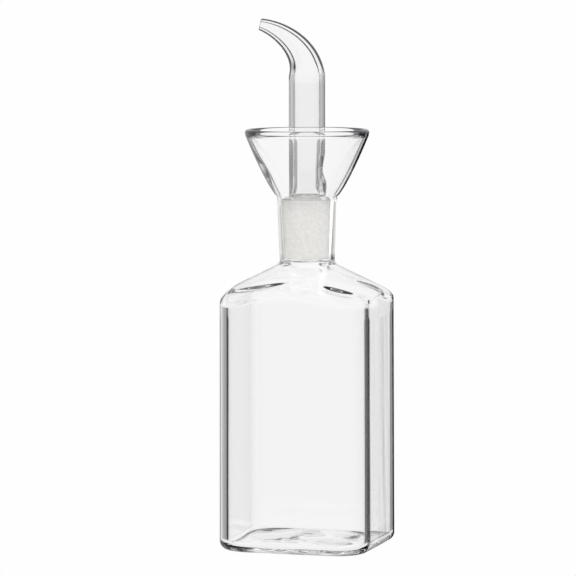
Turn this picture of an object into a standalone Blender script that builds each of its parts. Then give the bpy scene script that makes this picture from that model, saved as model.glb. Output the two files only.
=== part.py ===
"""Oil dispenser in clear glass: a square bottle with a drip funnel, and the spout ground into its neck.

Sizes are in millimetres and are scaled to metres as each mesh is made. Z is up, the bottle stands on
the origin, and its front face looks along -Y. The spout pours to -X, turned a little to the front.
"""

from math import atan, cos, pi, radians, sin, sqrt

import bmesh
import bpy
from mathutils import Vector

MM = 0.001

# Square body, a hair narrower towards its top, with sides that stand out slightly in the middle.
BODY_WIDTH = 69.8
BODY_DRAFT = 0.0028
BODY_CORNER = 15.0
CORNER_EASE = 1.2
SIDE_BELLY = 0.003
HEEL_RADIUS = 3.8
WALL = 3.05
INNER_CORNER = 13.0
INNER_HEEL = 2.5
FLOOR = 2.6

# Shoulder: a cone that the square body runs into over a broad, soft edge.
SHOULDER_START = 106.5
SHOULDER_TOP = 127.75
SHOULDER_SLOPE = 0.491
SHOULDER_WALL = 2.8
SHOULDER_SOFTNESS = 5.0
INNER_SOFTNESS = 4.0
NECK_FILLET = 3.6

# Neck with the tapered socket that the spout is ground into.
NECK_FOOT = 130.2
NECK_TOP = 158.1
NECK_FOOT_RADIUS = 12.4
NECK_TOP_RADIUS = 13.6
SOCKET_TOP_RADIUS = 12.15
JOINT_TAPER = 0.05

# Drip funnel.
RIM_HEIGHT = 188.2
RIM_RADIUS = 28.0
FUNNEL_TOP = 185.4
FUNNEL_TOP_RADIUS = 27.8
FUNNEL_CURVE = 0.8
FUNNEL_WALL_FOOT = 1.9
FUNNEL_WALL_TOP = 1.1
LIP_RADIUS = 1.35

# Ground plug of the spout.
JOINT_GAP = 0.3
PLUG_FOOT = 130.3
PLUG_TOP = 157.0
PLUG_EDGE = 0.5
PLUG_BORE = 7.9
PLUG_BORE_TOP = 153.1
VENT_FLAT_FOOT = 9.3
VENT_FLAT_TOP = 10.0

# Pouring tube of the spout.
TUBE_RADIUS = 8.15
TUBE_BORE = 5.75
TUBE_FOOT = 159.5
BEND_START = 212.4
BEND_RISE = 12.0
TIP_REACH = 20.7
TIP_HEIGHT = 235.3
TIP_PITCH = radians(13.9)
TIP_RUN = 9.8
TIP_RADIUS = 2.7
TIP_BORE = 1.4
TIP_ROUNDING = 0.4
SPOUT_TURN = radians(16.9)

# Dent pressed into the foot of the tube, above the vent, with a swelling under it.
DENT_HALF_ANGLE = radians(48.0)
DENT_TOP = 178.5
DENT_DEEPEST = 170.1
DENT_END = 163.5
DENT_DEPTH = 1.15
SWELLING_TOP = 169.5
SWELLING_MIDDLE = 162.8
SWELLING_FOOT = 157.1
SWELLING = 0.6
BORE_PUSH = 1.6
PUSH_DEEPEST = 162.7
PUSH_END = 160.1

# Facets.
SIDE_FACETS = 5
CORNER_FACETS = 8
SPOUT_FACETS = 32
HEEL_STEPS = 3
SHOULDER_STEPS = 11
FUNNEL_STEPS = 7
LIP_STEPS = 6
PLUG_STEPS = 5
DENT_STEPS = 8
BEND_STEPS = 11

GLASS_COLOR = (0.93, 0.95, 0.94, 1.0)
GLASS_IOR = 1.47


def smaller(a, b, reach):
    """The smaller of two radii, eased where they come within reach of each other."""
    overlap = max(reach - abs(a - b), 0.0) / reach
    return min(a, b) - overlap * overlap * reach / 4


def larger(a, b, reach):
    """The larger of two radii, eased in the same way."""
    return -smaller(-a, -b, reach)


def steps(first, last, count):
    """Evenly spaced values from first to last, both included."""
    return [first + (last - first) * i / count for i in range(count + 1)]


def rounded_square(angle, half_width, corner):
    """Distance from the axis to a rounded square, in the direction of an angle."""
    across = max(abs(cos(angle)), abs(sin(angle)))
    along = min(abs(cos(angle)), abs(sin(angle)))
    straight = half_width - corner
    if half_width * along / across <= straight:
        return half_width / across
    return straight * (across + along) + sqrt(corner**2 - straight**2 * (across - along) ** 2)


def soft_square(angle, half_width, corner):
    """A rounded square whose corners begin gently: the mean of a tighter and a wider one."""
    tight = rounded_square(angle, half_width, corner - CORNER_EASE)
    wide = rounded_square(angle, half_width, corner + CORNER_EASE)
    return (tight + wide) / 2 * (1 + SIDE_BELLY * cos(4 * angle))


def bottle_angles():
    """Directions round the bottle: wide facets on the sides, narrow ones round the corners."""
    corner_start = atan(1 - 2 * BODY_CORNER / BODY_WIDTH)
    side = steps(-corner_start, corner_start, SIDE_FACETS)[:-1]
    corner = steps(corner_start, pi / 2 - corner_start, CORNER_FACETS)[:-1]
    return [quarter * pi / 2 + angle for quarter in range(4) for angle in side + corner]


def neck_radius(z):
    """Outside of the neck, a little wider at its top."""
    share = (z - NECK_FOOT) / (NECK_TOP - NECK_FOOT)
    return NECK_FOOT_RADIUS + (NECK_TOP_RADIUS - NECK_FOOT_RADIUS) * share


def socket_radius(z):
    """Inside of the neck: the ground taper."""
    return SOCKET_TOP_RADIUS - (NECK_TOP - z) * JOINT_TAPER


def shoulder_cone(z, inset):
    """The cone of the shoulder, moved inwards by an inset measured square to its surface."""
    shift = inset / sin(atan(SHOULDER_SLOPE))
    return NECK_FOOT_RADIUS + (SHOULDER_TOP - z) / SHOULDER_SLOPE - shift


def outer_body(angle, z):
    """Outside of the body, shoulder and neck foot."""
    square = soft_square(angle, BODY_WIDTH / 2 - z * BODY_DRAFT, BODY_CORNER)
    top = larger(shoulder_cone(z, 0), neck_radius(z), NECK_FILLET)
    return smaller(square, top, SHOULDER_SOFTNESS)


def inner_body(angle, z):
    """Inside of the body, shoulder and neck foot."""
    square = soft_square(angle, BODY_WIDTH / 2 - z * BODY_DRAFT - WALL, INNER_CORNER)
    top = larger(shoulder_cone(z, SHOULDER_WALL), socket_radius(z), NECK_FILLET)
    return smaller(square, top, INNER_SOFTNESS)


def funnel_radius(z):
    """Outside of the funnel, steepest where it leaves the neck."""
    share = (z - NECK_TOP) / (FUNNEL_TOP - NECK_TOP)
    return NECK_TOP_RADIUS + (FUNNEL_TOP_RADIUS - NECK_TOP_RADIUS) * share**FUNNEL_CURVE


def funnel_wall(z):
    """Thickness of the funnel, thinnest under its rim."""
    share = (z - NECK_TOP) / (FUNNEL_TOP - NECK_TOP)
    return FUNNEL_WALL_FOOT + (FUNNEL_WALL_TOP - FUNNEL_WALL_FOOT) * share


def level_ring(angles, radius_at, z):
    """A ring of points at one height, with a radius that may depend on the direction."""
    points = []
    for angle in angles:
        radius = radius_at(angle)
        points.append((radius * cos(angle), radius * sin(angle), z))
    return points


def heel_rings(angles, half_width, corner, floor, heel):
    """Rings up the rounded edge where a floor turns into the walls."""
    rings = []
    for turn in steps(0, pi / 2, HEEL_STEPS):
        inset = heel * (1 - sin(turn))
        height = floor + heel * (1 - cos(turn))
        section = lambda angle: soft_square(angle, half_width - inset, corner - inset)
        rings.append(level_ring(angles, section, height))
    return rings


def bottle_rings():
    """The whole skin of the bottle: up the outside, over the lip and down the inside."""
    angles = bottle_angles()
    half = BODY_WIDTH / 2
    rings = heel_rings(angles, half, BODY_CORNER, 0, HEEL_RADIUS)
    for z in steps(SHOULDER_START, NECK_FOOT, SHOULDER_STEPS):
        rings.append(level_ring(angles, lambda angle: outer_body(angle, z), z))
    for z in steps(NECK_TOP, FUNNEL_TOP, FUNNEL_STEPS):
        rings.append(level_ring(angles, lambda angle: funnel_radius(z), z))
    lip_centre = RIM_RADIUS - LIP_RADIUS
    for turn in steps(radians(-20), radians(200), LIP_STEPS):
        radius = lip_centre + LIP_RADIUS * cos(turn)
        height = RIM_HEIGHT - LIP_RADIUS + LIP_RADIUS * sin(turn)
        rings.append(level_ring(angles, lambda angle: radius, height))
    for z in reversed(steps(NECK_TOP, FUNNEL_TOP, FUNNEL_STEPS)):
        inside = max(funnel_radius(z) - funnel_wall(z), socket_radius(z))
        rings.append(level_ring(angles, lambda angle: inside, z))
    inner_top = NECK_FOOT - SHOULDER_WALL / 2
    for z in reversed(steps(SHOULDER_START - SHOULDER_WALL, inner_top, SHOULDER_STEPS)):
        rings.append(level_ring(angles, lambda angle: inner_body(angle, z), z))
    rings += reversed(heel_rings(angles, half - WALL, INNER_CORNER, FLOOR, INNER_HEEL))
    return rings


def ground_radius(z):
    """Outside of the plug, clear of the socket all round."""
    return socket_radius(z) - JOINT_GAP


def vent_distance(z):
    """Distance from the axis to the flat that lets air in and drips back, on the side away from the tip."""
    share = (z - PLUG_FOOT) / (PLUG_TOP - PLUG_FOOT)
    return VENT_FLAT_FOOT + (VENT_FLAT_TOP - VENT_FLAT_FOOT) * share


def plug_section(radius, z):
    """A round section with the vent's flat cut from its +X side."""
    return lambda angle: min(radius, vent_distance(z) / max(cos(angle), 0.1))


def dent_share(angle):
    """How strongly the dent acts in a direction: fully at +X, and not at all past its sides."""
    turn = (angle + pi) % (2 * pi) - pi
    if abs(turn) >= DENT_HALF_ANGLE:
        return 0.0
    return cos(turn / DENT_HALF_ANGLE * pi / 2) ** 2


def eased(share):
    """A share from 0 to 1 that leaves and arrives gently."""
    share = min(max(share, 0.0), 1.0)
    return share * share * (3 - 2 * share)


def hump(z, foot, middle, top):
    """1 at the middle height, easing to 0 at the foot and at the top."""
    return eased((z - foot) / (middle - foot)) * eased((top - z) / (top - middle))


def dented_tube(z):
    """Outside of the tube at its foot: pressed in, then standing proud above the vent."""
    dip = DENT_DEPTH * hump(z, DENT_END, DENT_DEEPEST, DENT_TOP)
    swelling = SWELLING * hump(z, SWELLING_FOOT, SWELLING_MIDDLE, SWELLING_TOP)
    return lambda angle: TUBE_RADIUS + (swelling - dip) * dent_share(angle)


def dented_bore(z):
    """Inside of the tube at its foot: pushed in down a long slope that ends in a short step."""
    slope = min((DENT_TOP - z) / (DENT_TOP - PUSH_DEEPEST), 1.0)
    push = BORE_PUSH * slope * eased((z - PUSH_END) / (PUSH_DEEPEST - PUSH_END))
    return lambda angle: TUBE_BORE - push * dent_share(angle)


def bend_points():
    """Centre, outward direction and share of the length, along the bend from the tube to the tip."""
    start = Vector((0, BEND_START))
    end = Vector((-TIP_REACH, TIP_HEIGHT))
    rise = start + Vector((0, BEND_RISE))
    run = end + TIP_RUN * Vector((cos(TIP_PITCH), -sin(TIP_PITCH)))
    points = []
    for t in steps(0, 1, BEND_STEPS):
        s = 1 - t
        centre = s**3 * start + 3 * s * s * t * rise + 3 * s * t * t * run + t**3 * end
        heading = s * s * (rise - start) + 2 * s * t * (run - rise) + t * t * (end - run)
        heading.normalize()
        points.append((centre, Vector((heading.y, -heading.x)), heading))
    lengths = [0.0]
    for (before, _, _), (after, _, _) in zip(points, points[1:]):
        lengths.append(lengths[-1] + (after - before).length)
    return [(*point, length / lengths[-1]) for point, length in zip(points, lengths)]


def bend_ring(angles, centre, outward, radius):
    """A round ring square to the bend."""
    points = []
    for angle in angles:
        offset = outward * radius * cos(angle)
        points.append((centre.x + offset.x, radius * sin(angle), centre.y + offset.y))
    return points


def spout_rings():
    """The whole skin of the spout: up the outside, over the tip and down through the bore."""
    angles = [2 * pi * i / SPOUT_FACETS for i in range(SPOUT_FACETS)]
    bend = bend_points()
    tip, tip_outward, tip_heading, _ = bend[-1]
    rings = []

    for z, trim in ((PLUG_FOOT, PLUG_EDGE), (PLUG_FOOT + PLUG_EDGE, 0), (PLUG_TOP, 0)):
        rings.append(level_ring(angles, plug_section(ground_radius(z) - trim, z), z))
    for z in steps(PLUG_TOP, TUBE_FOOT, PLUG_STEPS)[1:-1]:
        share = eased((z - PLUG_TOP) / (TUBE_FOOT - PLUG_TOP))
        radius = ground_radius(PLUG_TOP) + (TUBE_RADIUS - ground_radius(PLUG_TOP)) * share
        rings.append(level_ring(angles, plug_section(radius, z), z))
    for z in steps(TUBE_FOOT, DENT_TOP, DENT_STEPS):
        rings.append(level_ring(angles, dented_tube(z), z))
    for centre, outward, _, share in bend:
        radius = TUBE_RADIUS + (TIP_RADIUS - TUBE_RADIUS) * share
        rings.append(bend_ring(angles, centre, outward, radius))
    rim = tip + TIP_ROUNDING * tip_heading
    for radius in (TIP_RADIUS - TIP_ROUNDING, TIP_BORE + TIP_ROUNDING):
        rings.append(bend_ring(angles, rim, tip_outward, radius))

    for centre, outward, _, share in reversed(bend):
        radius = TUBE_BORE + (TIP_BORE - TUBE_BORE) * share
        rings.append(bend_ring(angles, centre, outward, radius))
    for z in reversed(steps(TUBE_FOOT, DENT_TOP, DENT_STEPS)):
        rings.append(level_ring(angles, dented_bore(z), z))
    for z in reversed(steps(PLUG_BORE_TOP, TUBE_FOOT, PLUG_STEPS)[:-1]):
        share = eased((z - PLUG_BORE_TOP) / (TUBE_FOOT - PLUG_BORE_TOP))
        radius = PLUG_BORE + (TUBE_BORE - PLUG_BORE) * share
        rings.append(level_ring(angles, lambda angle: radius, z))
    rings.append(level_ring(angles, lambda angle: PLUG_BORE, PLUG_FOOT))
    return rings


def glass(name):
    """Clear glass of one piece."""
    material = bpy.data.materials.new(name)
    material.use_nodes = True
    shader = material.node_tree.nodes["Principled BSDF"]
    shader.inputs["Base Color"].default_value = GLASS_COLOR
    shader.inputs["Metallic"].default_value = 0.0
    shader.inputs["Roughness"].default_value = 0.02
    shader.inputs["IOR"].default_value = GLASS_IOR
    shader.inputs["Transmission Weight"].default_value = 1.0
    return material


def skin(name, rings, endless, collection):
    """Make an object from rings of equal count. An endless skin joins its last ring to its first."""
    shape = bmesh.new()
    loops = [[shape.verts.new(Vector(point) * MM) for point in ring] for ring in rings]
    pairs = list(zip(loops, loops[1:]))
    if endless:
        pairs.append((loops[-1], loops[0]))
    else:
        shape.faces.new(reversed(loops[0]))
        shape.faces.new(loops[-1])
    for below, above in pairs:
        for i in range(len(below)):
            j = (i + 1) % len(below)
            shape.faces.new((below[i], below[j], above[j], above[i]))
    mesh = bpy.data.meshes.new(name)
    shape.to_mesh(mesh)
    shape.free()
    mesh.shade_smooth()
    mesh.set_sharp_from_angle(angle=radians(40))
    mesh.materials.append(glass(name + "_glass"))
    piece = bpy.data.objects.new(name, mesh)
    collection.objects.link(piece)
    return piece


def build():
    """Make the dispenser: the bottle, and the spout standing in its neck."""
    for old in list(bpy.data.objects):
        bpy.data.objects.remove(old, do_unlink=True)
    collection = bpy.data.collections.new("oil_dispenser")
    bpy.context.scene.collection.children.link(collection)
    skin("bottle", bottle_rings(), False, collection)
    spout = skin("spout", spout_rings(), True, collection)
    spout.rotation_euler.z = SPOUT_TURN


build()
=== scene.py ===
from math import atan, cos, exp, pi, radians, sin, sqrt

import bmesh
import bpy
from mathutils import Matrix, Vector, noise


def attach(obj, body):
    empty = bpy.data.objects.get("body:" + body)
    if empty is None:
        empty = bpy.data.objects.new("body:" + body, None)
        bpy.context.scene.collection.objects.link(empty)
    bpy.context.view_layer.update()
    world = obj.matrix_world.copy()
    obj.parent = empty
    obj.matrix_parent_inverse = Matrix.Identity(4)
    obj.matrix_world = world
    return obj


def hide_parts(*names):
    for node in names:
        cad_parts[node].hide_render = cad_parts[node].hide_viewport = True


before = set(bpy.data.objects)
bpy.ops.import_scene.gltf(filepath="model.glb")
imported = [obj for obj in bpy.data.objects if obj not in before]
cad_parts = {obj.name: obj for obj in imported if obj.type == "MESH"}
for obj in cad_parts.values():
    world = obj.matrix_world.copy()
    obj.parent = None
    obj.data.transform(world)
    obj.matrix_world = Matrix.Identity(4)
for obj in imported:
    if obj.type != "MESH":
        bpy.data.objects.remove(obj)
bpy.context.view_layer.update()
scene = bpy.context.scene

# ---------------------------------------------------------------------------------------------
# Studio: a white sweep lit from all round, with grey flags at both sides that draw the edges of
# the glass. The camera is a long lens a little above the bottle's middle.
# ---------------------------------------------------------------------------------------------

VIEW_AZIMUTH = radians(16.9)
VIEW_ELEVATION = radians(4.85)
VIEW_ROLL = radians(-0.12)
VIEW_DISTANCE = 1.693
VIEW_HEIGHT = 0.1166
VIEW_ASIDE = -0.00869
LENS_MM = 234.5
GLASS_BOUNCES = 40
MIRROR_BOUNCES = 16
TABLE_RADIUS = 6.0
TABLE_SIDES = 96
TABLE_DROP = 0.0003

back = Vector(
    (
        sin(VIEW_AZIMUTH) * cos(VIEW_ELEVATION),
        -cos(VIEW_AZIMUTH) * cos(VIEW_ELEVATION),
        sin(VIEW_ELEVATION),
    )
)
aside = Vector((cos(VIEW_AZIMUTH), sin(VIEW_AZIMUTH), 0))
camera = bpy.data.objects.new("camera", bpy.data.cameras.new("camera"))
scene.collection.objects.link(camera)
camera.data.sensor_width = 36
camera.data.lens = LENS_MM
camera.data.clip_start = 0.01
camera.data.clip_end = 30
camera.location = Vector((0, 0, VIEW_HEIGHT)) + VIEW_ASIDE * aside + VIEW_DISTANCE * back
camera.rotation_mode = "QUATERNION"
roll = Matrix.Rotation(VIEW_ROLL, 3, "Z").to_quaternion()
camera.rotation_quaternion = (-back).to_track_quat("-Z", "Y") @ roll
scene.camera = camera
scene.view_settings.view_transform = "Standard"
scene.cycles.max_bounces = GLASS_BOUNCES
scene.cycles.transmission_bounces = GLASS_BOUNCES
scene.cycles.glossy_bounces = MIRROR_BOUNCES

# Tones of the studio by direction, in degrees to the right of straight ahead. The edge tones are what
# the glass carries round its corners, the inside ones what still reaches the eye after more walls, and
# the mirror tones what its outside reflects. The near ones are low and meet the body, the far ones
# lie behind the spout, and a plain stretch between the two is what the neck carries.
STUDIO_TONES = {
    "Edge Near": (
        (-180, 0.35),
        (-146, 0.45),
        (-90, 0.30),
        (-75, 0.03),
        (-55, 0.03),
        (-50, 0.33),
        (-34, 0.38),
        (-24, 0.60),
        (-14, 0.90),
        (-6, 0.50),
        (0, 0.20),
        (8, 0.03),
        (36, 0.02),
        (48, 0.20),
        (58, 0.40),
        (90, 0.35),
        (146, 0.45),
        (180, 0.35),
    ),
    "Edge Far": (
        (-180, 0.35),
        (-90, 0.35),
        (-62, 0.40),
        (-39, 0.55),
        (-21, 0.60),
        (0, 0.36),
        (21, 0.50),
        (39, 0.57),
        (62, 0.50),
        (90, 0.35),
        (180, 0.35),
    ),
    "Inside Far": (
        (-180, 0.35),
        (-62, 0.30),
        (-39, 0.36),
        (-21, 0.36),
        (0, 0.20),
        (12, 0.08),
        (26, 0.20),
        (40, 0.33),
        (90, 0.30),
        (180, 0.35),
    ),
    "Mirror Near": (
        (-180, 0.35),
        (-146, 0.45),
        (-110, 0.30),
        (-60, 0.70),
        (-5, 0.80),
        (2, 0.10),
        (5, 0.03),
        (29.0, 0.02),
        (29.8, 0.90),
        (37, 0.90),
        (39, 0.05),
        (60, 0.05),
        (110, 0.10),
        (146, 0.40),
        (180, 0.35),
    ),
    "Mirror Far": (
        (-180, 0.35),
        (-110, 0.40),
        (-60, 0.70),
        (-5, 0.80),
        (2, 0.10),
        (5, 0.03),
        (60, 0.03),
        (110, 0.10),
        (146, 0.40),
        (180, 0.35),
    ),
}
INSIDE_TONE = 0.6
FILL_TONE = 3.1
BACKDROP_TONE = 0.99
TABLE_TONE = 0.9
TABLE_START = -0.17
TABLE_END = -0.32
NECK_TONE = 0.8
NECK_START = -0.080
NECK_END = -0.075
FAR_START = -0.063
FAR_END = -0.057
OVERHEAD_TONE = 0.95
OVERHEAD_MIRROR_TONE = 0.75
OVERHEAD_START = -0.03
OVERHEAD_END = 0.05
# How often light has met glass on its way: at least once, or so often that it comes from deep inside.
ONCE = 0.5
DEEP_INSIDE = 3.5


def link_mix(tree, factor, a, b):
    """A colour mix whose ends are sockets or fixed grey tones."""
    mix = tree.nodes.new("ShaderNodeMix")
    mix.data_type = "RGBA"
    tree.links.new(factor, mix.inputs["Factor"])
    for name, end in (("A", a), ("B", b)):
        if isinstance(end, float):
            mix.inputs[name].default_value = (end, end, end, 1)
        else:
            tree.links.new(end, mix.inputs[name])
    return mix.outputs["Result"]


def share_between(tree, value, low, high, least=0.0):
    """A value carried over to a share that runs from least at the low end to 1 at the high end."""
    span = tree.nodes.new("ShaderNodeMapRange")
    span.inputs["From Min"].default_value = low
    span.inputs["From Max"].default_value = high
    span.inputs["To Min"].default_value = least
    tree.links.new(value, span.inputs["Value"])
    return span.outputs["Result"]


def effect_group(name, inputs, outputs):
    """A node group with its sockets, and the nodes that bring its inputs and take its outputs."""
    group = bpy.data.node_groups.new(name, "ShaderNodeTree")
    for side, sockets in (("INPUT", inputs), ("OUTPUT", outputs)):
        for label, kind in sockets:
            group.interface.new_socket(label, in_out=side, socket_type="NodeSocket" + kind)
    return group, group.nodes.new("NodeGroupInput"), group.nodes.new("NodeGroupOutput")


studio, entry, result = effect_group(
    "studio_tone",
    [("Direction", "Vector")],
    [("Edge Tone", "Color"), ("Inside Tone", "Color"), ("Mirror Tone", "Color")],
)
parts = []
for axis in (aside, Vector((-back.x, -back.y, 0)).normalized()):
    dot = studio.nodes.new("ShaderNodeVectorMath")
    dot.operation = "DOT_PRODUCT"
    dot.inputs[1].default_value = axis
    studio.links.new(entry.outputs["Direction"], dot.inputs[0])
    parts.append(dot.outputs["Value"])
turn = studio.nodes.new("ShaderNodeMath")
turn.operation = "ARCTAN2"
studio.links.new(parts[0], turn.inputs[0])
studio.links.new(parts[1], turn.inputs[1])
share = share_between(studio, turn.outputs[0], -pi, pi)
height = studio.nodes.new("ShaderNodeSeparateXYZ")
studio.links.new(entry.outputs["Direction"], height.inputs["Vector"])
neck_span, far_span, overhead_span, table_span = (
    share_between(studio, height.outputs["Z"], low, high)
    for low, high in (
        (NECK_START, NECK_END),
        (FAR_START, FAR_END),
        (OVERHEAD_START, OVERHEAD_END),
        (TABLE_START, TABLE_END),
    )
)
ramps = {}
for name, tones in STUDIO_TONES.items():
    ramp = studio.nodes.new("ShaderNodeValToRGB")
    stops = ramp.color_ramp.elements
    for degrees_right, tone in tones[1:-1]:
        stops.new(degrees_right / 360 + 0.5)
    for stop, (_, tone) in zip(stops, tones):
        stop.color = (tone, tone, tone, 1)
    studio.links.new(share, ramp.inputs["Fac"])
    ramps[name] = ramp.outputs["Color"]
for name, near, far in (
    ("Edge Tone", ramps["Edge Near"], ramps["Edge Far"]),
    ("Inside Tone", INSIDE_TONE, ramps["Inside Far"]),
    ("Mirror Tone", ramps["Mirror Near"], ramps["Mirror Far"]),
):
    level = link_mix(studio, neck_span, near, NECK_TONE)
    level = link_mix(studio, far_span, level, far)
    if name == "Mirror Tone":
        level = link_mix(studio, overhead_span, level, OVERHEAD_MIRROR_TONE)
    else:
        level = link_mix(studio, overhead_span, level, OVERHEAD_TONE)
        level = link_mix(studio, table_span, level, TABLE_TONE)
    studio.links.new(level, result.inputs[name])

world = bpy.data.worlds.new("studio")
world.use_nodes = True
scene.world = world
tree = world.node_tree
outward = tree.nodes.new("ShaderNodeTexCoord")
tone = tree.nodes.new("ShaderNodeGroup")
tone.node_tree = studio
tree.links.new(outward.outputs["Generated"], tone.inputs["Direction"])
path = tree.nodes.new("ShaderNodeLightPath")
above = {}
for name, depth, least in (
    ("carried", "Transmission Depth", ONCE),
    ("inside", "Transmission Depth", DEEP_INSIDE),
    ("mirrored", "Glossy Depth", ONCE),
    ("scattered", "Diffuse Depth", ONCE),
):
    test = tree.nodes.new("ShaderNodeMath")
    test.operation = "GREATER_THAN"
    test.inputs[1].default_value = least
    tree.links.new(path.outputs[depth], test.inputs[0])
    above[name] = test.outputs[0]
light = link_mix(tree, above["carried"], tone.outputs["Mirror Tone"], tone.outputs["Edge Tone"])
light = link_mix(tree, above["inside"], light, tone.outputs["Inside Tone"])
light = link_mix(tree, above["mirrored"], BACKDROP_TONE, light)
light = link_mix(tree, above["scattered"], light, FILL_TONE)
tree.links.new(light, tree.nodes["Background"].inputs["Color"])

floor_shape = bmesh.new()
bmesh.ops.create_circle(floor_shape, cap_ends=True, segments=TABLE_SIDES, radius=TABLE_RADIUS)
floor_mesh = bpy.data.meshes.new("floor")
floor_shape.to_mesh(floor_mesh)
floor_shape.free()
floor = bpy.data.objects.new("floor", floor_mesh)
scene.collection.objects.link(floor)
floor.location.z = -TABLE_DROP

# The floor is a lit white table. What the glass mirrors passes it by and meets the studio's tones.
table = bpy.data.materials.new("lit_table")
table.use_nodes = True
paint = table.node_tree.nodes["Principled BSDF"]
paint.inputs["Base Color"].default_value = (0, 0, 0, 1)
paint.inputs["Specular IOR Level"].default_value = 0.0
paint.inputs["Emission Color"].default_value = (1, 1, 1, 1)
paint.inputs["Emission Strength"].default_value = BACKDROP_TONE
path = table.node_tree.nodes.new("ShaderNodeLightPath")
seen = table.node_tree.nodes.new("ShaderNodeMath")
seen.operation = "LESS_THAN"
seen.inputs[1].default_value = ONCE
table.node_tree.links.new(path.outputs["Glossy Depth"], seen.inputs[0])
table.node_tree.links.new(seen.outputs[0], paint.inputs["Alpha"])
floor_mesh.materials.append(table)

# ---------------------------------------------------------------------------------------------
# Bottle: one piece of clear borosilicate glass, blown in a square mould. Body, shoulder, neck and
# drip funnel are one skin with an inside and an outside, closed over the melted rim.
# ---------------------------------------------------------------------------------------------

MM = 0.001
BODY_WIDTH = 69.78
BODY_DRAFT = 0.0028
BODY_CORNER = 15.0
HEEL_RADIUS = 3.8
WALL = 3.05
INNER_CORNER = 13.0
INNER_HEEL = 2.5
CORNER_EASE = 1.2
SIDE_BELLY = 0.003
FLOOR = 2.6
FLOOR_RIPPLE = 1.4
RIPPLE_LENGTH = 18.0
RIPPLE_CALM = 0.25
FLOOR_MIDDLE = 0.02
SHOULDER_WALL = 2.8
# Folds in the glass: direction in degrees, height, width in degrees, reach up and down, depth, and
# how far the fold climbs per radian.
SHOULDER_FOLDS = (
    (-44, 116.5, 17, 2.0, 2.8, -7.0),
    (-126, 127.0, 10, 0.8, 1.0, 3.0),
    (-34, 127.0, 10, 0.8, 1.1, -3.0),
    (-44, 124.6, 7, 0.7, 0.9, 5.0),
    (-124, 117.3, 26, 1.2, 1.8, 5.2),
    (8, 115.6, 12, 1.4, 2.2, -9.0),
    (135, 116.0, 14, 1.2, 0.8, 0.0),
    (-160, 126.6, 16, 0.7, 0.9, 0.0),
    (14, 126.6, 16, 0.7, 0.9, 0.0),
    (-20, 125.2, 9, 0.6, 0.7, 4.0),
)
FUNNEL_FOLDS = (
    (-160, 167.5, 34, 8.0, 0.5, 0.0),
    (30, 172.0, 14, 5.0, 0.5, 6.0),
)
SHOULDER_START = 106.5
SHOULDER_TOP = 127.75
SHOULDER_SLOPE = 0.491
SHOULDER_SOFTNESS = 5.0
INNER_SOFTNESS = 4.0
NECK_FILLET = 3.6
NECK_FOOT = 130.2
NECK_TOP = 158.1
NECK_FOOT_RADIUS = 12.4
NECK_TOP_RADIUS = 13.6
SOCKET_TOP_RADIUS = 12.15
JOINT_TAPER = 0.05
RIM_HEIGHT = 188.2
RIM_RADIUS = 28.0
FUNNEL_TOP = 185.4
FUNNEL_TOP_RADIUS = 27.8
FUNNEL_CURVE = 0.8
FUNNEL_WALL_FOOT = 1.9
FUNNEL_WALL_TOP = 1.1
LIP_RADIUS = 1.35
LIP_OVERRUN = radians(20)
FUNNEL_FOOT_EASE = 0.6
SIDE_FACETS = 36
CORNER_FACETS = 20
HEEL_STEPS = 20
WALL_STEPS = 20
SHOULDER_STEPS = 80
NECK_STEPS = 10
FUNNEL_STEPS = 45
LIP_STEPS = 32
FLOOR_STEPS = 30
GLASS_IOR = 1.47
GLASS_TINT = (0.985, 0.985, 0.985, 1)
# Painted shade: the glass's colour turns nearly black where it is seen at a grazing angle, which draws
# its dark edges.
PAINTED_EDGE_SHADE = (0.02, 0.02, 0.025, 1)
PAINTED_EDGE_SHADE_START = 0.052
PAINTED_EDGE_SHADE_END = 0.058
WAVE_STRETCH = (1.0, 1.0, 0.12)
WAVE_SCALE = 110.0
WAVE_HEIGHT = 0.04
# The neck's clear glass has a painted glow at its edges, least on its left: emission, not a lamp.
NECK_DARK = (0.0, 0.0, 0.0, 1)
NECK_GLOW = (0.55, 0.55, 0.54, 1)
NECK_GLOW_START = 0.085
NECK_GLOW_END = 0.12
NECK_GLOW_LEAST = 0.2
# How strongly painted shade darkens the edges, and how far the neck's painted glow reaches, at heights
# above the ground.
BOTTLE_PAINTED_EDGE_SHADE = (
    (0.0, 0.0),
    (2.6, 0.0),
    (5.1, 0.2),
    (104.0, 0.2),
    (108.0, 0.0),
    (130.0, 0.0),
    (134.0, 0.054),
    (156.0, 0.054),
    (160.0, 0.2),
    (185.0, 0.2),
    (186.0, 0.8),
    (190.0, 0.8),
)
NECK_LIGHT = ((0.0, 0.0), (130.2, 0.0), (132.7, 1.0), (155.6, 1.0), (158.1, 0.0), (190.0, 0.0))


def smaller(a, b, reach):
    """The smaller of two radii, eased where they come within reach of each other."""
    overlap = max(reach - abs(a - b), 0.0) / reach
    return min(a, b) - overlap * overlap * reach / 4


def larger(a, b, reach):
    """The larger of two radii, eased in the same way."""
    return -smaller(-a, -b, reach)


def steps(first, last, count):
    """Evenly spaced values from first to last, both included."""
    return [first + (last - first) * i / count for i in range(count + 1)]


def rounded_square(angle, half_width, corner):
    """Distance from the axis to a rounded square, in the direction of an angle."""
    across = max(abs(cos(angle)), abs(sin(angle)))
    along = min(abs(cos(angle)), abs(sin(angle)))
    straight = half_width - corner
    if half_width * along / across <= straight:
        return half_width / across
    return straight * (across + along) + sqrt(corner**2 - straight**2 * (across - along) ** 2)


def soft_square(angle, half_width, corner):
    """A rounded square whose corners begin gently: the mean of a tighter and a wider one."""
    tight = rounded_square(angle, half_width, corner - CORNER_EASE)
    wide = rounded_square(angle, half_width, corner + CORNER_EASE)
    return (tight + wide) / 2 * (1 + SIDE_BELLY * cos(4 * angle))


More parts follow.
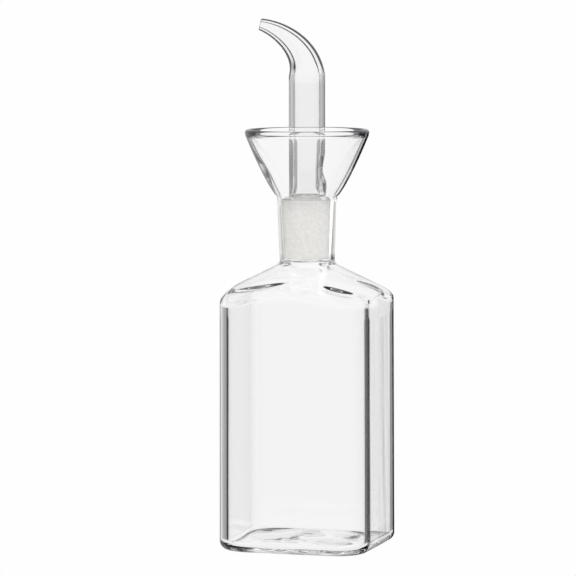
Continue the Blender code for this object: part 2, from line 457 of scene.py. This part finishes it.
def bottle_angles():
    """Directions round the bottle, closest together at the corners."""
    corner_start = atan(1 - 2 * BODY_CORNER / BODY_WIDTH)
    side = steps(-corner_start, corner_start, SIDE_FACETS)[:-1]
    corner = steps(corner_start, pi / 2 - corner_start, CORNER_FACETS)[:-1]
    return [quarter * pi / 2 + angle for quarter in range(4) for angle in side + corner]


def neck_radius(z):
    """Outside of the neck, a little wider at its top."""
    share = (z - NECK_FOOT) / (NECK_TOP - NECK_FOOT)
    return NECK_FOOT_RADIUS + (NECK_TOP_RADIUS - NECK_FOOT_RADIUS) * share


def socket_radius(z):
    """Inside of the neck: the ground taper."""
    return SOCKET_TOP_RADIUS - (NECK_TOP - z) * JOINT_TAPER


def shoulder_cone(z, inset):
    """The cone of the shoulder, moved inwards by an inset measured square to its surface."""
    return NECK_FOOT_RADIUS + (SHOULDER_TOP - z) / SHOULDER_SLOPE - inset / sin(atan(SHOULDER_SLOPE))


def outer_body(angle, z):
    """Outside of the body, shoulder and neck foot."""
    square = soft_square(angle, BODY_WIDTH / 2 - z * BODY_DRAFT, BODY_CORNER)
    top = larger(shoulder_cone(z, 0), neck_radius(z), NECK_FILLET)
    return smaller(square, top, SHOULDER_SOFTNESS)


def folded(folds, angle, z):
    """How much thicker the glass is where it folded as it was blown and pressed."""
    thicker = 0.0
    for degrees, height, width, reach, depth, rise in folds:
        turn = (angle - radians(degrees) + pi) % (2 * pi) - pi
        level = (z - height - rise * turn) / reach
        thicker += depth * exp(-((turn / radians(width)) ** 2) - level**2)
    return thicker


def inner_body(angle, z):
    """Inside of the body, shoulder and neck foot."""
    square = soft_square(angle, BODY_WIDTH / 2 - z * BODY_DRAFT - WALL, INNER_CORNER)
    top = larger(shoulder_cone(z, SHOULDER_WALL), socket_radius(z), NECK_FILLET)
    return smaller(square, top, INNER_SOFTNESS) - folded(SHOULDER_FOLDS, angle, z)


def funnel_radius(z):
    """Outside of the funnel, steepest where it leaves the neck."""
    share = (z - NECK_TOP) / (FUNNEL_TOP - NECK_TOP)
    return NECK_TOP_RADIUS + (FUNNEL_TOP_RADIUS - NECK_TOP_RADIUS) * share**FUNNEL_CURVE


def funnel_wall(z):
    """Thickness of the funnel, thinnest under its rim."""
    share = (z - NECK_TOP) / (FUNNEL_TOP - NECK_TOP)
    return FUNNEL_WALL_FOOT + (FUNNEL_WALL_TOP - FUNNEL_WALL_FOOT) * share


def level_ring(angles, radius_at, z):
    """A ring of points at one height, with a radius that may depend on the direction."""
    points = []
    for angle in angles:
        radius = radius_at(angle)
        points.append(Vector((radius * cos(angle), radius * sin(angle), z)))
    return points


def heel_rings(angles, half_width, corner, floor_height, heel):
    """Rings up the rounded edge where a floor turns into the walls."""
    rings = []
    for turn in steps(0, pi / 2, HEEL_STEPS):
        inset = heel * (1 - sin(turn))
        height = floor_height + heel * (1 - cos(turn))
        section = lambda angle: soft_square(angle, half_width - inset, corner - inset)
        rings.append(level_ring(angles, section, height))
    return rings


def floor_point(edge, share):
    """A point of the inner floor, part of the way out to its edge, on gentle ripples."""
    point = Vector((edge.x * share, edge.y * share, edge.z))
    wave = noise.noise(Vector((point.x / RIPPLE_LENGTH, point.y / RIPPLE_LENGTH, 0)))
    calm = min(1.0, (1 - share) / RIPPLE_CALM)
    point.z += FLOOR_RIPPLE * wave * calm
    return point


def bottle_rings():
    """The whole skin of the bottle: up the outside, over the lip and down the inside."""
    angles = bottle_angles()
    half = BODY_WIDTH / 2
    rings = heel_rings(angles, half, BODY_CORNER, 0, HEEL_RADIUS)
    outside = steps(HEEL_RADIUS, SHOULDER_START, WALL_STEPS)[1:-1]
    outside += steps(SHOULDER_START, NECK_FOOT, SHOULDER_STEPS)
    for z in outside:
        rings.append(level_ring(angles, lambda angle: outer_body(angle, z), z))
    for z in steps(NECK_FOOT, NECK_TOP, NECK_STEPS)[1:-1]:
        rings.append(level_ring(angles, lambda angle: neck_radius(z), z))
    for z in steps(NECK_TOP, FUNNEL_TOP, FUNNEL_STEPS):
        rings.append(level_ring(angles, lambda angle: funnel_radius(z), z))
    lip_centre = RIM_RADIUS - LIP_RADIUS
    for turn in steps(-LIP_OVERRUN, pi + LIP_OVERRUN, LIP_STEPS):
        radius = lip_centre + LIP_RADIUS * cos(turn)
        height = RIM_HEIGHT - LIP_RADIUS + LIP_RADIUS * sin(turn)
        rings.append(level_ring(angles, lambda angle: radius, height))
    for z in reversed(steps(NECK_TOP, FUNNEL_TOP, FUNNEL_STEPS)):
        wall = larger(funnel_radius(z) - funnel_wall(z), socket_radius(z), FUNNEL_FOOT_EASE)
        rings.append(level_ring(angles, lambda angle: wall - folded(FUNNEL_FOLDS, angle, z), z))
    for z in reversed(steps(NECK_FOOT, NECK_TOP, NECK_STEPS)[1:-1]):
        rings.append(level_ring(angles, lambda angle: socket_radius(z), z))
    inner_start = SHOULDER_START - SHOULDER_WALL
    inside = steps(FLOOR + INNER_HEEL, inner_start, WALL_STEPS)[1:-1]
    inside += steps(inner_start, NECK_FOOT - SHOULDER_WALL / 2, SHOULDER_STEPS)
    for z in reversed(inside):
        rings.append(level_ring(angles, lambda angle: inner_body(angle, z), z))
    rings += reversed(heel_rings(angles, half - WALL, INNER_CORNER, FLOOR, INNER_HEEL))
    edge = rings[-1]
    for share in reversed(steps(FLOOR_MIDDLE, 1, FLOOR_STEPS)[:-1]):
        rings.append([floor_point(corner, share) for corner in edge])
    return rings


def skin(name, rings, endless):
    """Make an object from rings of equal count. An endless skin joins its last ring to its first."""
    shape = bmesh.new()
    loops = [[shape.verts.new(point * MM) for point in ring] for ring in rings]
    pairs = list(zip(loops, loops[1:]))
    if endless:
        pairs.append((loops[-1], loops[0]))
    else:
        shape.faces.new(reversed(loops[0]))
        shape.faces.new(loops[-1])
    for below, above in pairs:
        for i in range(len(below)):
            j = (i + 1) % len(below)
            shape.faces.new((below[i], below[j], above[j], above[i]))
    mesh = bpy.data.meshes.new(name)
    shape.to_mesh(mesh)
    shape.free()
    mesh.shade_smooth()
    piece = bpy.data.objects.new(name, mesh)
    scene.collection.objects.link(piece)
    return piece


def height_ramp(tree, height, stops):
    """A value that follows the height above the ground, given at some heights in millimetres."""
    share = tree.nodes.new("ShaderNodeMath")
    share.operation = "DIVIDE"
    share.inputs[1].default_value = stops[-1][0] * MM
    tree.links.new(height, share.inputs[0])
    ramp = tree.nodes.new("ShaderNodeValToRGB")
    for z, value in stops[1:-1]:
        ramp.color_ramp.elements.new(z / stops[-1][0])
    for stop, (z, value) in zip(ramp.color_ramp.elements, stops):
        stop.position = z / stops[-1][0]
        stop.color = (value, value, value, 1)
    tree.links.new(share.outputs[0], ramp.inputs["Fac"])
    return ramp.outputs["Color"]


def product(tree, a, b):
    """The product of two values."""
    node = tree.nodes.new("ShaderNodeMath")
    node.operation = "MULTIPLY"
    tree.links.new(a, node.inputs[0])
    tree.links.new(b, node.inputs[1])
    return node.outputs[0]


def two_tone(tree, value, start, end, first, last):
    """A colour that passes from a first to a last one while a value runs from start to end."""
    ramp = tree.nodes.new("ShaderNodeValToRGB")
    ramp.color_ramp.elements[0].position = start
    ramp.color_ramp.elements[0].color = first
    ramp.color_ramp.elements[1].position = end
    ramp.color_ramp.elements[1].color = last
    tree.links.new(value, ramp.inputs["Fac"])
    return ramp.outputs["Color"]


# Painted shade: the glass's own tint, darkened to nearly black where the surface is seen at a grazing
# angle, by a strength given per height.
glass_tint_and_painted_edge_shade, entry, result = effect_group(
    "glass_tint_and_painted_edge_shade", [("Grazing", "Float"), ("Strength", "Float")], [("Tint", "Color")]
)
edge = product(glass_tint_and_painted_edge_shade, entry.outputs["Grazing"], entry.outputs["Strength"])
tint_and_painted_shade = two_tone(glass_tint_and_painted_edge_shade, edge, PAINTED_EDGE_SHADE_START, PAINTED_EDGE_SHADE_END, GLASS_TINT, PAINTED_EDGE_SHADE)
glass_tint_and_painted_edge_shade.links.new(tint_and_painted_shade, result.inputs["Tint"])

glass_waves, entry, result = effect_group("glass_waves", [("Place", "Vector")], [("Normal", "Vector")])
stretch = glass_waves.nodes.new("ShaderNodeVectorMath")
stretch.operation = "MULTIPLY"
stretch.inputs[1].default_value = WAVE_STRETCH
glass_waves.links.new(entry.outputs["Place"], stretch.inputs[0])
swell = glass_waves.nodes.new("ShaderNodeTexNoise")
swell.inputs["Scale"].default_value = WAVE_SCALE
swell.inputs["Detail"].default_value = 1.0
glass_waves.links.new(stretch.outputs["Vector"], swell.inputs["Vector"])
relief = glass_waves.nodes.new("ShaderNodeBump")
relief.inputs["Strength"].default_value = 1.0
relief.inputs["Distance"].default_value = WAVE_HEIGHT * MM
glass_waves.links.new(swell.outputs["Fac"], relief.inputs["Height"])
glass_waves.links.new(relief.outputs["Normal"], result.inputs["Normal"])


def clear_glass(name, painted_shade_heights):
    """A clear glass with faint waves, whose edges get painted shade: its colour darkens at grazing
    angles by a strength given at some heights.
    """
    glass = bpy.data.materials.new(name)
    glass.use_nodes = True
    tree = glass.node_tree
    shader = tree.nodes["Principled BSDF"]
    shader.inputs["Roughness"].default_value = 0.0
    shader.inputs["IOR"].default_value = GLASS_IOR
    shader.inputs["Transmission Weight"].default_value = 1.0
    grazing = tree.nodes.new("ShaderNodeFresnel")
    grazing.inputs["IOR"].default_value = GLASS_IOR
    place = tree.nodes.new("ShaderNodeTexCoord")
    along = tree.nodes.new("ShaderNodeSeparateXYZ")
    tree.links.new(place.outputs["Object"], along.inputs["Vector"])
    edge = tree.nodes.new("ShaderNodeGroup")
    edge.name = "edge"
    edge.node_tree = glass_tint_and_painted_edge_shade
    tree.links.new(grazing.outputs["Fac"], edge.inputs["Grazing"])
    tree.links.new(height_ramp(tree, along.outputs["Z"], painted_shade_heights), edge.inputs["Strength"])
    tree.links.new(edge.outputs["Tint"], shader.inputs["Base Color"])
    waves = tree.nodes.new("ShaderNodeGroup")
    waves.node_tree = glass_waves
    tree.links.new(place.outputs["Object"], waves.inputs["Place"])
    tree.links.new(waves.outputs["Normal"], shader.inputs["Normal"])
    return glass


bottle = skin("blown_bottle", bottle_rings(), False)
clear = clear_glass("blown_glass", BOTTLE_PAINTED_EDGE_SHADE)
tree = clear.node_tree
shader = tree.nodes["Principled BSDF"]
grazing = tree.nodes["Fresnel"].outputs["Fac"]
along = tree.nodes["Separate XYZ"].outputs
# Painted glow: emission where the neck is seen at a grazing angle, weaker towards its left and only on
# its outside.
across = share_between(
    tree, along["X"], -NECK_TOP_RADIUS * MM, NECK_TOP_RADIUS * MM, NECK_GLOW_LEAST
)
amount = product(tree, height_ramp(tree, along["Z"], NECK_LIGHT), across)
painted_neck_glow = two_tone(tree, grazing, NECK_GLOW_START, NECK_GLOW_END, NECK_DARK, NECK_GLOW)
glow = link_mix(tree, amount, 0.0, painted_neck_glow)
skin_side = tree.nodes.new("ShaderNodeNewGeometry")
outside_glow = link_mix(tree, skin_side.outputs["Backfacing"], glow, 0.0)
tree.links.new(outside_glow, shader.inputs["Emission Color"])
shader.inputs["Emission Strength"].default_value = 1.0
bottle.data.materials.append(clear)
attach(bottle, "root")
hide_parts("bottle")

# ---------------------------------------------------------------------------------------------
# Spout: a drawn tube of the same glass, bent and narrowed to its tip, with a plug at its foot that
# is ground matt to stand airtight in the neck. A dent over the plug leads air and drips to its vent.
# ---------------------------------------------------------------------------------------------

JOINT_GAP = 0.3
PLUG_FOOT = 130.3
PLUG_TOP = 157.0
PLUG_EDGE = 0.5
PLUG_BORE = 7.9
PLUG_BORE_TOP = 153.1
VENT_FLAT_FOOT = 9.3
VENT_FLAT_TOP = 10.0
VENT_EDGE = 0.5
LEAST_COSINE = 0.1
TUBE_RADIUS = 8.15
TUBE_BORE = 5.75
TUBE_FOOT = 159.5
BEND_START = 212.4
BEND_RISE = 12.0
TIP_REACH = 20.7
TIP_HEIGHT = 235.3
TIP_PITCH = radians(13.9)
TIP_RUN = 9.8
TIP_RADIUS = 2.7
TIP_BORE = 1.4
TIP_ROUNDING = 0.4
SPOUT_TURN = radians(16.9)
DENT_HALF_ANGLE = radians(48.0)
DENT_TOP = 178.5
DENT_DEEPEST = 170.1
DENT_END = 163.5
DENT_DEPTH = 1.15
SWELLING_TOP = 169.5
SWELLING_MIDDLE = 162.8
SWELLING_FOOT = 157.1
SWELLING = 0.6
BORE_PUSH = 1.6
PUSH_DEEPEST = 162.7
PUSH_END = 160.1
SPOUT_FACETS = 144
PLUG_STEPS = 10
PLUG_BORE_STEPS = 8
PLUG_EDGE_STEPS = 4
TUBE_FOOT_STEPS = 16
DENT_STEPS = 60
TUBE_STEPS = 8
BEND_STEPS = 90
TIP_STEPS = 8
GROUND_DEPTH = 0.15
# How strongly painted shade darkens the spout's edges, at heights above the ground.
SPOUT_PAINTED_EDGE_SHADE = (
    (0.0, 0.0),
    (134.0, 0.054),
    (156.0, 0.054),
    (160.0, 0.2),
    (212.0, 0.2),
    (218.0, 0.7),
    (240.0, 0.9),
)
# Painted shade on the tube's foot: how strongly its colour turns grey where it is seen at a grazing
# angle, at heights above the ground.
PAINTED_WALL_SHADE_HEIGHTS = (
    (0.0, 0.0),
    (158.0, 0.0),
    (162.0, 1.0),
    (182.0, 1.0),
    (188.0, 0.0),
    (240.0, 0.0),
)
PAINTED_WALL_SHADE_START = 0.051
PAINTED_WALL_SHADE_END = 0.058
PAINTED_WALL_SHADE_COLOR = (0.42, 0.42, 0.43, 1)
GROUND_ROUGHNESS = 0.6
GROUND_CLEARNESS = 0.5
GRAIN_SCALE = 900.0
GRAIN_DETAIL = 3.0
GRAIN_STRENGTH = 0.4
GRAIN_HEIGHT = 0.1
POWDER_LOW = (0.88, 0.865, 0.84, 1)
POWDER_HIGH = (0.995, 0.985, 0.965, 1)
POWDER_START = 0.38
POWDER_END = 0.62


def ground_radius(z):
    """Outside of the plug, clear of the socket all round."""
    return socket_radius(z) - JOINT_GAP


def vent_distance(z):
    """Distance from the axis to the flat that lets air in and drips back."""
    share = (z - PLUG_FOOT) / (PLUG_TOP - PLUG_FOOT)
    return VENT_FLAT_FOOT + (VENT_FLAT_TOP - VENT_FLAT_FOOT) * share


def plug_section(radius, z):
    """A round section with the vent's flat cut from its +X side."""
    return lambda angle: smaller(radius, vent_distance(z) / max(cos(angle), LEAST_COSINE), VENT_EDGE)


def dent_share(angle):
    """How strongly the dent acts in a direction: fully at +X, and not at all past its sides."""
    turn = (angle + pi) % (2 * pi) - pi
    if abs(turn) >= DENT_HALF_ANGLE:
        return 0.0
    return cos(turn / DENT_HALF_ANGLE * pi / 2) ** 2


def eased(share):
    """A share from 0 to 1 that leaves and arrives gently."""
    share = min(max(share, 0.0), 1.0)
    return share * share * (3 - 2 * share)


def hump(z, foot, middle, top):
    """1 at the middle height, easing to 0 at the foot and at the top."""
    return eased((z - foot) / (middle - foot)) * eased((top - z) / (top - middle))


def dented_tube(z):
    """Outside of the tube at its foot: pressed in, then standing proud above the vent."""
    dip = DENT_DEPTH * hump(z, DENT_END, DENT_DEEPEST, DENT_TOP)
    swelling = SWELLING * hump(z, SWELLING_FOOT, SWELLING_MIDDLE, SWELLING_TOP)
    return lambda angle: TUBE_RADIUS + (swelling - dip) * dent_share(angle)


def dented_bore(z):
    """Inside of the tube at its foot: pushed in down a long slope that ends in a short step."""
    slope = min((DENT_TOP - z) / (DENT_TOP - PUSH_DEEPEST), 1.0)
    push = BORE_PUSH * slope * eased((z - PUSH_END) / (PUSH_DEEPEST - PUSH_END))
    return lambda angle: TUBE_BORE - push * dent_share(angle)


def bend_points(count):
    """Centre, outward direction, heading and share of the length, along the bend to the tip."""
    start = Vector((0, BEND_START))
    end = Vector((-TIP_REACH, TIP_HEIGHT))
    rise = start + Vector((0, BEND_RISE))
    run = end + TIP_RUN * Vector((cos(TIP_PITCH), -sin(TIP_PITCH)))
    points = []
    for t in steps(0, 1, count):
        s = 1 - t
        centre = s**3 * start + 3 * s * s * t * rise + 3 * s * t * t * run + t**3 * end
        heading = s * s * (rise - start) + 2 * s * t * (run - rise) + t * t * (end - run)
        heading.normalize()
        points.append((centre, Vector((heading.y, -heading.x)), heading))
    lengths = [0.0]
    for (before, _, _), (after, _, _) in zip(points, points[1:]):
        lengths.append(lengths[-1] + (after - before).length)
    return [(*point, length / lengths[-1]) for point, length in zip(points, lengths)]


def bend_ring(angles, centre, outward, radius):
    """A round ring square to the bend."""
    points = []
    for angle in angles:
        offset = outward * radius * cos(angle)
        points.append(Vector((centre.x + offset.x, radius * sin(angle), centre.y + offset.y)))
    return points


def spout_rings():
    """The whole skin of the spout: up the outside, over the tip and down through the bore."""
    angles = [2 * pi * i / SPOUT_FACETS for i in range(SPOUT_FACETS)]
    bend = bend_points(BEND_STEPS)
    tip, tip_outward, tip_heading, _ = bend[-1]
    rings = []
    for turn in steps(0, pi / 2, PLUG_EDGE_STEPS):
        z = PLUG_FOOT + PLUG_EDGE * (1 - cos(turn))
        radius = ground_radius(z) - PLUG_EDGE * (1 - sin(turn))
        rings.append(level_ring(angles, plug_section(radius, z), z))
    for z in steps(PLUG_FOOT + PLUG_EDGE, PLUG_TOP, PLUG_STEPS)[1:]:
        rings.append(level_ring(angles, plug_section(ground_radius(z), z), z))
    for z in steps(PLUG_TOP, TUBE_FOOT, TUBE_FOOT_STEPS)[1:-1]:
        share = eased((z - PLUG_TOP) / (TUBE_FOOT - PLUG_TOP))
        radius = ground_radius(PLUG_TOP) + (TUBE_RADIUS - ground_radius(PLUG_TOP)) * share
        rings.append(level_ring(angles, plug_section(radius, z), z))
    for z in steps(TUBE_FOOT, DENT_TOP, DENT_STEPS):
        rings.append(level_ring(angles, dented_tube(z), z))
    for z in steps(DENT_TOP, BEND_START, TUBE_STEPS)[1:-1]:
        rings.append(level_ring(angles, lambda angle: TUBE_RADIUS, z))
    for centre, outward, _, share in bend:
        radius = TUBE_RADIUS + (TIP_RADIUS - TUBE_RADIUS) * share
        rings.append(bend_ring(angles, centre, outward, radius))
    middle = (TIP_RADIUS + TIP_BORE) / 2
    half_wall = (TIP_RADIUS - TIP_BORE) / 2
    for turn in steps(0, pi, TIP_STEPS)[1:-1]:
        rim = tip + TIP_ROUNDING * sin(turn) * tip_heading
        rings.append(bend_ring(angles, rim, tip_outward, middle + half_wall * cos(turn)))
    for centre, outward, _, share in reversed(bend):
        radius = TUBE_BORE + (TIP_BORE - TUBE_BORE) * share
        rings.append(bend_ring(angles, centre, outward, radius))
    for z in reversed(steps(DENT_TOP, BEND_START, TUBE_STEPS)[1:-1]):
        rings.append(level_ring(angles, lambda angle: TUBE_BORE, z))
    for z in reversed(steps(TUBE_FOOT, DENT_TOP, DENT_STEPS)):
        rings.append(level_ring(angles, dented_bore(z), z))
    for z in reversed(steps(PLUG_BORE_TOP, TUBE_FOOT, TUBE_FOOT_STEPS)[:-1]):
        share = eased((z - PLUG_BORE_TOP) / (TUBE_FOOT - PLUG_BORE_TOP))
        radius = PLUG_BORE + (TUBE_BORE - PLUG_BORE) * share
        rings.append(level_ring(angles, lambda angle: radius, z))
    for z in reversed(steps(PLUG_FOOT, PLUG_BORE_TOP, PLUG_BORE_STEPS)[:-1]):
        rings.append(level_ring(angles, lambda angle: PLUG_BORE, z))
    return rings


spout = skin("pouring_spout", spout_rings(), True)
spout.data.transform(Matrix.Rotation(SPOUT_TURN, 4, "Z"))
drawn = clear_glass("drawn_glass", SPOUT_PAINTED_EDGE_SHADE)
tree = drawn.node_tree
grazing = tree.nodes["Fresnel"].outputs["Fac"]
height = tree.nodes["Separate XYZ"].outputs["Z"]
# Painted shade: the tube's foot turns grey at grazing angles, on top of the painted edge shade.
wall = product(tree, grazing, height_ramp(tree, height, PAINTED_WALL_SHADE_HEIGHTS))
shade = two_tone(tree, wall, PAINTED_WALL_SHADE_START, PAINTED_WALL_SHADE_END, GLASS_TINT, PAINTED_WALL_SHADE_COLOR)
both = tree.nodes.new("ShaderNodeMix")
both.data_type = "RGBA"
both.blend_type = "MULTIPLY"
both.inputs["Factor"].default_value = 1.0
tree.links.new(tree.nodes["edge"].outputs["Tint"], both.inputs["A"])
tree.links.new(shade, both.inputs["B"])
tree.links.new(both.outputs["Result"], tree.nodes["Principled BSDF"].inputs["Base Color"])
spout.data.materials.append(drawn)

ground = bpy.data.materials.new("ground_glass")
ground.use_nodes = True
tree = ground.node_tree
shader = tree.nodes["Principled BSDF"]
shader.inputs["Roughness"].default_value = GROUND_ROUGHNESS
shader.inputs["IOR"].default_value = GLASS_IOR
shader.inputs["Transmission Weight"].default_value = GROUND_CLEARNESS
place = tree.nodes.new("ShaderNodeTexCoord")
grain = tree.nodes.new("ShaderNodeTexNoise")
grain.inputs["Scale"].default_value = GRAIN_SCALE
grain.inputs["Detail"].default_value = GRAIN_DETAIL
tree.links.new(place.outputs["Object"], grain.inputs["Vector"])
powder = two_tone(tree, grain.outputs["Fac"], POWDER_START, POWDER_END, POWDER_LOW, POWDER_HIGH)
tree.links.new(powder, shader.inputs["Base Color"])
relief = tree.nodes.new("ShaderNodeBump")
relief.inputs["Strength"].default_value = GRAIN_STRENGTH
relief.inputs["Distance"].default_value = GRAIN_HEIGHT * MM
tree.links.new(grain.outputs["Fac"], relief.inputs["Height"])
tree.links.new(relief.outputs["Normal"], shader.inputs["Normal"])
spout.data.materials.append(ground)
for face in spout.data.polygons:
    z = face.center.z / MM
    radius = Vector(face.center.xy).length / MM
    if PLUG_FOOT < z < PLUG_TOP and radius > ground_radius(z) - GROUND_DEPTH:
        face.material_index = 1
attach(spout, "root")
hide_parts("spout")
